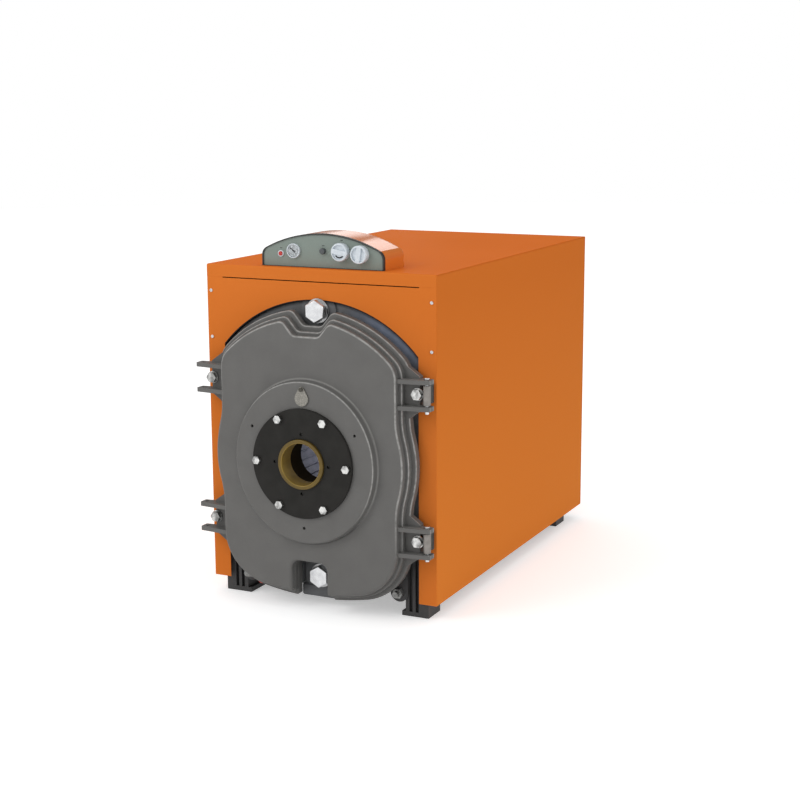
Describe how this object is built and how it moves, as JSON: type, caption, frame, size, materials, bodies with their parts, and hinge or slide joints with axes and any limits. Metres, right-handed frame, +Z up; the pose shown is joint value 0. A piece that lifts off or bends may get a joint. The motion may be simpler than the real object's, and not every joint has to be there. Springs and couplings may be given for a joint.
{
  "type": "cast-iron sectional boiler",
  "caption": "Floor-standing heating boiler: cast-iron sections in a painted casing, hinged front door with a round burner opening, control panel on top.",
  "frame": {"origin": "centre of the footprint on the floor, under the middle of the bounding box", "axes": "+Z up, -Y toward the burner door at the front, +X to the right as seen from the front"},
  "size_m": [0.652, 1.267, 0.947],
  "materials": {
    "block_iron": "rough casting",
    "casing_paint": "satin",
    "door_iron": "painted casting",
    "dark_steel": "satin",
    "zinc_steel": "zinc plated",
    "black_paint": "satin",
    "sleeve_metal": "yellow passivated",
    "refractory": "rough fibre board",
    "fibre": "woven fibre",
    "fascia_paint": "satin",
    "black_plastic": "matt",
    "white_plastic": "gloss",
    "clear_glass": "clear",
    "red_plastic": "gloss"
  },
  "bodies": {
    "boiler": {"front_section": "block_iron", "middle_section_1": "block_iron", "middle_section_2": "block_iron", "middle_section_3": "block_iron", "middle_section_4": "block_iron", "middle_section_5": "block_iron", "middle_section_6": "block_iron", "rear_section": "block_iron", "tie_rods": "zinc_steel", "bottom_plug": "zinc_steel", "top_plug": "zinc_steel", "drain_cap": "red_plastic", "smoke_hood": "dark_steel", "return_connection": "dark_steel", "flow_connection": "dark_steel", "front_panel": "casing_paint", "left_side_panel": "casing_paint", "right_side_panel": "casing_paint", "top_cover": "casing_paint", "rear_panel": "casing_paint", "casing_rails": "zinc_steel", "insulation_mats": "fibre", "latch_plates": "dark_steel", "lower_hinge_bracket": "dark_steel", "upper_hinge_bracket": "dark_steel", "hinge_pins": "zinc_steel", "control_hood": "casing_paint", "fascia_trim": "black_plastic", "control_fascia": "fascia_paint", "thermometer_case": "white_plastic", "thermometer_glass": "clear_glass", "lamp_ring": "white_plastic", "pilot_lamp": "red_plastic", "reset_cap": "black_plastic"},
    "door": {"burner_door": "door_iron", "door_refractory": "refractory", "door_rope": "fibre", "burner_plate": "black_paint", "plate_bolts": "zinc_steel", "burner_sleeve": "sleeve_metal", "door_bolts": "zinc_steel", "sight_cover_pin": "zinc_steel"},
    "sight_cover": {"sight_cover": "zinc_steel"},
    "thermostat_knob": {"thermostat_knob": "white_plastic"},
    "switch_knob": {"switch_knob": "white_plastic"}
  },
  "joints": [
    {"name": "door_hinge", "type": "hinge", "parent": "boiler", "child": "door", "pos_m": [0.313, -0.5665, 0.395], "axis": [0, 0, 1], "range_deg": [0, 110]},
    {"name": "sight_cover_swing", "type": "hinge", "parent": "door", "child": "sight_cover", "pos_m": [0, -0.6185, 0.577], "axis": [0, 1, 0], "range_deg": [-100, 100]},
    {"name": "thermostat_turn", "type": "hinge", "parent": "boiler", "child": "thermostat_knob", "pos_m": [0.054, -0.5005, 0.904], "axis": [0, 1, 0], "range_deg": [0, 270]},
    {"name": "switch_turn", "type": "hinge", "parent": "boiler", "child": "switch_knob", "pos_m": [0.107, -0.5005, 0.9], "axis": [0, 1, 0], "range_deg": [-45, 45]}
  ]
}
